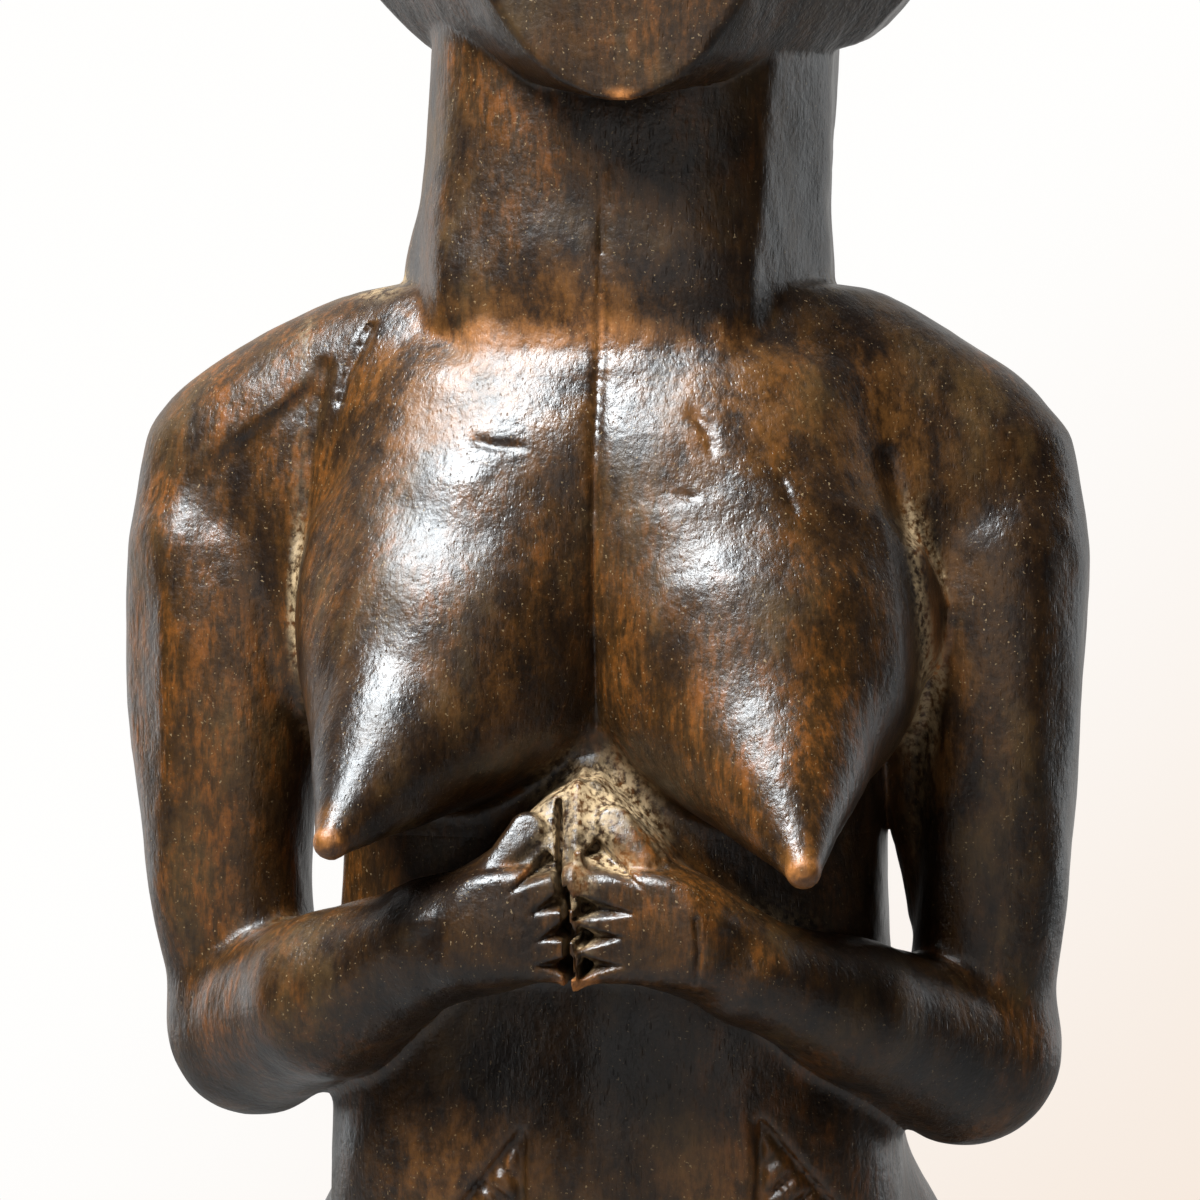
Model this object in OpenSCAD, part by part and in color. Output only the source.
// Carved wooden fertility doll: a standing female figure with its hands
// meeting on the belly, cut from one log together with its round plinth.
// Millimetres. The figure faces -Y, +Z is up, and the origin is the centre
// of the plinth's underside. "Left" and "right" are the figure's own.

/* [Plinth] */
// Diameter of the round plinth
plinth_d = 172; // [170:1:190]
// Height of the plinth
plinth_h = 28; // [20:1:36]
// Rounding of the plinth's top edge
plinth_round = 5; // [2:1:8]

/* [Legs] */
// Height of a foot, from the plinth to the ankle
foot_h = 26; // [24:1:30]
// Height of a shin, from the ankle to the knee
shin_h = 60; // [50:1:70]
// Height of a thigh, from the knee to the crotch
thigh_h = 62; // [50:1:75]
// Distance between the middles of the two legs
stance_w = 76; // [76:1:80]

/* [Body] */
// Height of the pelvis
pelvis_h = 64; // [56:1:72]
// Height of the belly, from the pelvis to under the bust
belly_h = 92; // [86:1:98]
// Height of the chest, from under the bust to the neck
chest_h = 118; // [114:1:122]
// Width over the hips
hip_w = 154; // [150:1:158]
// Width of the belly
belly_w = 126; // [122:1:128]
// Depth of the belly, front to back
belly_d = 94; // [92:1:98]
// Width over the shoulders
shoulder_w = 216; // [212:1:222]
// Width of the chest between the two arms
chest_w = 128; // [128:1:132]

/* [Neck and head] */
// Width of the neck
neck_w = 92; // [84:1:96]
// Depth of the neck, front to back
neck_d = 84; // [78:1:88]
// Height from the collar to the point of the chin
throat_h = 41; // [36:1:46]
// Width of the head
head_w = 158; // [150:1:164]
// Height of the head, chin to crown
head_h = 170; // [160:1:180]

/* [Hidden] */

wood = [0.24, 0.15, 0.10];
dark_wood = [0.13, 0.09, 0.07];
worn_wood = [0.36, 0.20, 0.10];

// Points round one ring of a carved form
SIDES = 32;

// Heights of the planes where one form ends and the next begins
ankle_z = plinth_h + foot_h;
knee_z = ankle_z + shin_h;
crotch_z = knee_z + thigh_h;
waist_z = crotch_z + pelvis_h;
bust_z = waist_z + belly_h;
collar_z = bust_z + chest_h;
chin_z = collar_z + throat_h;
crown_z = chin_z + head_h;

// The flat front of belly and chest, which hands and breasts lie against
front_y = -belly_d / 2 + 2;
// The flat sides of the chest, which the arms lie against
side_x = chest_w / 2;
// The upper arm meets the forearm at this height
elbow_z = bust_z - 27;
// The head's front half is the face, and its back half the coiffure
hair_y = 8;
// The nape rises behind the chin at this slope
nape_slope = 0.3;
chin_y = -60;
// The flat of the face
face_y = -58;
// The nose's width over the nostrils, and how far it stands out
nose_w = 22;
nose_out = 12;

function lerp(a, b, t) = a + (b - a) * t;
function signed_power(v, e) = sign(v) * pow(abs(v), e);

// Height of the sloping plane between neck and head
function nape_z(y) = chin_z + nape_slope * (y - chin_y);

// A table's row at parameter t, blended between the rows on either side.
// Each row is [t, value, value, ...], in rising order of t.
function row_at(table, t, i = 0) =
    i >= len(table) - 2 || t <= table[i + 1][0]
    ? lerp(
        table[i], table[i + 1],
        max(0, min(1, (t - table[i][0]) / (table[i + 1][0] - table[i][0])))
    )
    : row_at(table, t, i + 1);

// An oval of half sizes w and d about [cx, cy]; e under 1 squares it off
function oval(cx, cy, w, d, e = 0.85) = [
    for (i = [0:SIDES - 1])
        let (a = 360 * (i + 0.5) / SIDES)
        [cx + w * signed_power(cos(a), e), cy + d * signed_power(sin(a), e)]
];

// The same oval lying flat at height z
function level_ring(z, outline) = [for (p = outline) [p.x, p.y, z]];

// The same oval standing across X, as [y, z] pairs
function ring_across_x(x, outline) = [for (p = outline) [x, p.x, p.y]];

// The same oval standing across Y, as [x, z] pairs
function ring_across_y(y, outline) = [for (p = outline) [p.x, y, p.y]];

// Joins rings of SIDES points, one after the other, into a closed solid
module loft(rings) {
    last = len(rings) - 1;
    first_cap = [for (i = [1:SIDES - 2]) [0, i, i + 1]];
    last_cap = [for (i = [1:SIDES - 2]) [0, i + 1, i] + last * SIDES * [1, 1, 1]];
    sides = [
        for (k = [0:last - 1])
            for (i = [0:SIDES - 1])
                let (j = (i + 1) % SIDES, a = k * SIDES, b = a + SIDES)
                each [[a + i, b + j, a + j], [a + i, b + i, b + j]]
    ];
    polyhedron([for (r = rings) each r], concat(first_cap, last_cap, sides));
}

// Draws its children on the figure's left (+X) for side 1, right for -1
module on_side(side) {
    if (side > 0) children();
    else mirror([1, 0, 0]) children();
}

// A rod with round ends
module rod(from, to, r1, r2) {
    hull() {
        translate(from) sphere(r1, $fn = 14);
        translate(to) sphere(r2, $fn = 14);
    }
}

module plinth() {
    color(dark_wood)
        rotate_extrude($fn = 96)
            union() {
                square([plinth_d / 2, plinth_h - plinth_round]);
                square([plinth_d / 2 - plinth_round, plinth_h]);
                translate([plinth_d / 2 - plinth_round, plinth_h - plinth_round])
                    circle(plinth_round, $fn = 48);
            }
}

// A foot with a flat sole, an arched instep and five toes
module foot(side) {
    sole = plinth_h;
    toe_y = [-66, -68, -66, -61, -55];
    toe_r = [9, 6.5, 6.2, 6, 5.6];
    toe_x = [-18, -6, 4, 14, 23];
    heel_y = 22;
    instep_y = -26;
    color(wood)
        on_side(side)
            intersection() {
                translate([stance_w / 2, 0, 0]) {
                    rod([0, heel_y, sole + 11], [0, 8, ankle_z], 17, 19);
                    rod([0, 8, ankle_z - 4], [0, instep_y, sole + 12], 19, 17);
                    rod([-9, instep_y, sole + 8], [9, instep_y, sole + 8], 15, 14);
                    for (i = [0:4])
                        rod(
                            [toe_x[i] * 0.7, -36, sole + 9],
                            [toe_x[i], toe_y[i] + 6, sole + toe_r[i] - 1],
                            10, toe_r[i]
                        );
                }
                translate([0, -plinth_d / 2, sole])
                    cube([plinth_d, plinth_d, foot_h]);
            }
}

// A leg's part between two heights. Each row is [height share, half width,
// half depth, depth place], and the leg's middle moves from x_low to x_top.
module leg_form(side, z_low, z_top, table, x_low, x_top) {
    steps = 7;
    color(wood)
        on_side(side)
            loft([
                for (k = [0:steps])
                    let (t = k / steps, r = row_at(table, t))
                    level_ring(
                        lerp(z_low, z_top, t),
                        oval(lerp(x_low, x_top, t), r[3], r[1], r[2], 0.95)
                    )
            ]);
}

module shin(side) {
    leg_form(
        side, ankle_z, knee_z,
        [[0, 20, 20, 6], [0.4, 26, 28, 8], [0.7, 27, 29, 5], [1, 26, 27, -3]],
        stance_w / 2, stance_w / 2
    );
}

module thigh(side) {
    leg_form(
        side, knee_z, crotch_z,
        [[0, 26, 27, -3], [0.3, 30, 31, -4], [0.7, 34, 39, 4], [1, 36, 45, 10]],
        stance_w / 2, stance_w / 2
    );
}

// A ring's points kept behind the flat front of the body
function behind_front(outline) = [for (p = outline) [p.x, max(p.y, front_y)]];

// Hips with the buttocks standing out at the back
module pelvis() {
    table = [
        [0, hip_w / 2 - 3, 50, 12], [0.3, hip_w / 2, 61, 18],
        [0.55, hip_w / 2 - 2, 62, 18], [0.85, belly_w / 2 + 4, 53, 7],
        [1, belly_w / 2 + 1, belly_d / 2 + 2, 3]
    ];
    steps = 9;
    color(wood)
        loft([
            for (k = [0:steps])
                let (t = k / steps, r = row_at(table, t))
                level_ring(
                    lerp(crotch_z, waist_z, t),
                    behind_front(oval(0, r[3], r[1], r[2], 0.9))
                )
        ]);
}

module belly() {
    table = [
        [0, belly_w / 2 + 1, belly_d / 2 + 2, 3], [0.25, belly_w / 2, belly_d / 2, 1],
        [1, belly_w / 2, belly_d / 2, 0]
    ];
    steps = 8;
    color(wood)
        loft([
            for (k = [0:steps])
                let (t = k / steps, r = row_at(table, t))
                level_ring(
                    lerp(waist_z, bust_z, t),
                    behind_front(oval(0, r[3], r[1], r[2]))
                )
        ]);
}

// A round navel standing out of the belly
module navel() {
    navel_r = 8;
    navel_out = 7;
    navel_drop = 4;
    color(worn_wood)
        translate([0, front_y, waist_z - navel_drop])
            rotate([90, 0, 0])
                cylinder(navel_out, navel_r, navel_r * 0.55, $fn = 32);
}

// Half the width over the shoulders, by height share of the chest, for the
// full width given last
shoulder_line = [
    [0, 102], [0.2, 104], [0.45, 107], [0.6, 107], [0.68, 104], [0.78, 96],
    [0.88, 81], [0.95, 65], [1, 50]
];
shoulder_line_w = 216;
function shoulder_x(t) = row_at(shoulder_line, t)[1] * shoulder_w / shoulder_line_w;

// Chest between the two arms, flat where breasts and arms lie against it
module chest() {
    table = [
        [0, 47, 0, 0.85], [0.4, 49, 2, 0.7], [0.75, 48, 3, 0.65],
        [0.92, 45, 1, 0.65], [1, 42, 0, 0.7]
    ];
    steps = 12;
    color(wood)
        loft([
            for (k = [0:steps])
                let (
                    t = k / steps,
                    r = row_at(table, t),
                    w = lerp(belly_w / 2, shoulder_x(t), min(1, t * 4)),
                    flat = behind_front(oval(0, r[2], w, r[1], r[3]))
                )
                level_ring(
                    lerp(bust_z, collar_z, t),
                    [for (p = flat) [max(-side_x, min(side_x, p.x)), p.y]]
                )
        ]);
}

// A pointed breast. Rows run from the chest to the tip:
// [share, half width, half height, x, height above the bust line]
module breast(side) {
    tip_y = -84;
    table = [
        [0, 29, 43, 31, 54], [0.25, 25, 34, 34, 44], [0.5, 19, 24, 39, 31],
        [0.75, 12, 14, 44, 18], [0.93, 6.5, 7, 47, 8.5], [1, 3, 3, 48, 6]
    ];
    steps = 10;
    color(worn_wood)
        on_side(side)
            loft([
                for (k = [0:steps])
                    let (t = k / steps, r = row_at(table, t))
                    ring_across_y(
                        lerp(front_y, tip_y, t),
                        oval(r[3], bust_z + r[4], r[1], r[2], 0.95)
                    )
            ]);
}

// An upper arm from shoulder to elbow, flat where it lies against the chest
module upper_arm(side) {
    arm_top = collar_z - 7;
    free_x = side_x + 5.5;
    table = [
        [0, 21, -10], [0.25, 24, -6], [0.6, 27, -3], [0.8, 25, -1],
        [0.93, 20, 0], [1, 11, 0]
    ];
    steps = 14;
    color(wood)
        on_side(side)
            loft([
                for (k = [0:steps])
                    let (
                        t = k / steps,
                        z = lerp(elbow_z, arm_top, t),
                        r = row_at(table, t),
                        out_x = shoulder_x(max(0, (z - bust_z) / chest_h)),
                        in_x = z < bust_z + 6 ? free_x : side_x
                    )
                    level_ring(
                        z,
                        oval((out_x + in_x) / 2, r[2], (out_x - in_x) / 2, r[1], 0.8)
                    )
            ]);
}

// A forearm from the elbow to the wrist, in rings across X.
// [share, half depth, half height, depth place, height below the bust line]
module forearm(side) {
    wrist_x = 28;
    table = [
        [0, 9, 9, -14, 44], [0.07, 17, 16, -15, 44], [0.2, 20, 20, -18, 42],
        [0.4, 19, 19, -31, 37], [0.6, 16, 17, -44, 30], [0.8, 13.5, 14.5, -54, 20],
        [1, 13, 15, -60, 11]
    ];
    steps = 14;
    color(wood)
        on_side(side)
            loft([
                for (k = [steps:-1:0])
                    let (
                        t = k / steps,
                        x = lerp(shoulder_w / 2 - 4, wrist_x, t),
                        r = row_at(table, t),
                        under_arm = x > side_x,
                        outline = oval(r[3], bust_z - r[4], r[1], r[2], 0.85)
                    )
                    ring_across_x(
                        x,
                        under_arm
                        ? [for (p = outline) [p.x, min(p.y, elbow_z)]]
                        : outline
                    )
            ]);
}

// A flat hand whose four fingers point at the other hand, thumb on top
module hand(side) {
    wrist_x = 28;
    knuckle_x = 16;
    tip_x = 5.5;
    back_y = -64;
    finger_z = [-18, -11.5, -5, 1.5];
    color(wood)
        on_side(side)
            intersection() {
                union() {
                    hull()
                        for (z = [-18, -2])
                            rod([wrist_x, -60, bust_z + z], [knuckle_x, back_y, bust_z + z], 9, 5);
                    hull()
                        for (z = [-18, 0])
                            translate([8, front_y + 1, bust_z + z])
                                rotate([0, 90, 0])
                                    cylinder(18, 5, 5, $fn = 14);
                    for (z = finger_z)
                        rod(
                            [knuckle_x, back_y, bust_z + z],
                            [tip_x, back_y, bust_z + z - 1], 4.6, 3.7
                        );
                    hull() {
                        translate([wrist_x - 6, -60, bust_z - 1]) sphere(7, $fn = 14);
                        translate([knuckle_x, front_y, bust_z - 18]) sphere(5, $fn = 14);
                        translate([knuckle_x, front_y, bust_z]) sphere(5, $fn = 14);
                    }
                    rod([wrist_x - 8, back_y, bust_z + 3], [tip_x + 3, back_y + 2, bust_z + 12], 5, 4);
                }
                translate([1.2, front_y - 60, 0])
                    cube([wrist_x - 1.2, 60, crown_z]);
            }
}

// A thick neck that ends on the sloping plane under the head
module neck() {
    steps = 6;
    color(wood)
        loft([
            for (k = [0:steps])
                let (
                    t = k / steps,
                    w = neck_w / 2 * lerp(1, 0.97, t),
                    outline = oval(0, 0, w, neck_d / 2, 0.65)
                )
                [for (p = outline) [p.x, p.y, lerp(collar_z, nape_z(p.y), t)]]
        ]);
}

// The head's rings: [share of the height, half depth, depth place]
head_table = [
    [0, 3, -57], [0.03, 14, -47], [0.08, 30, -31], [0.15, 45, -14],
    [0.3, 53, -8], [0.5, 53, -6], [0.7, 49, -2], [0.85, 38, 2],
    [0.95, 22, 4], [1, 5, 6]
];

// Half width of the head at height share t
function head_x(t) =
    let (widest = 0.465, up = (t - widest) / (t < widest ? widest : 1 - widest))
    max(3, head_w / 2 * sqrt(max(0, 1 - up * up)));

// The whole head, with a flat face, over the sloping plane of the nape
module head_form() {
    steps = 20;
    intersection() {
        loft([
            for (k = [0:steps])
                let (
                    t = (1 - cos(180 * k / steps)) / 2,
                    r = row_at(head_table, t),
                    outline = oval(0, r[2], head_x(t), r[1], 0.95)
                )
                level_ring(
                    chin_z + head_h * t, [for (p = outline) [p.x, max(face_y, p.y)]]
                )
        ]);
        translate([0, chin_y, chin_z])
            rotate([atan(nape_slope), 0, 0])
                translate([-head_w, -head_w, 0])
                    cube([2 * head_w, 3 * head_w, 2 * head_h]);
    }
}

// The half of the head that lies before (side -1) or behind (side 1) hair_y
module head_half(side) {
    resize([head_w, 0, 0])
        intersection() {
            head_form();
            translate([-head_w, side < 0 ? hair_y - 2 * head_w : hair_y, chin_z])
                cube([2 * head_w, 2 * head_w, head_h]);
        }
}

// Face with its pointed chin
module face_block() {
    color(wood) head_half(-1);
}

// Hair mass at the back of the head
module coiffure() {
    color(dark_wood) head_half(1);
}

// A long straight nose on the flat of the face
module nose() {
    nose_z = chin_z + head_h * 0.3;
    nose_h = head_h * 0.3;
    color(worn_wood)
        translate([0, face_y, nose_z])
            rotate([90, 0, 0])
                hull() {
                    linear_extrude(1)
                        polygon([
                            [-nose_w / 2, 0], [nose_w / 2, 0], [4, nose_h], [-4, nose_h]
                        ]);
                    linear_extrude(nose_out)
                        polygon([[-4, 5], [4, 5], [2, nose_h / 2], [-2, nose_h / 2]]);
                }
}

plinth();
foot(1);  // left_foot
foot(-1);  // right_foot
shin(1);  // left_shin
shin(-1);  // right_shin
thigh(1);  // left_thigh
thigh(-1);  // right_thigh
pelvis();
belly();
navel();
chest();
breast(1);  // left_breast
breast(-1);  // right_breast
upper_arm(1);  // left_upper_arm
upper_arm(-1);  // right_upper_arm
forearm(1);  // left_forearm
forearm(-1);  // right_forearm
hand(1);  // left_hand
hand(-1);  // right_hand
neck();
face_block();
nose();
coiffure();
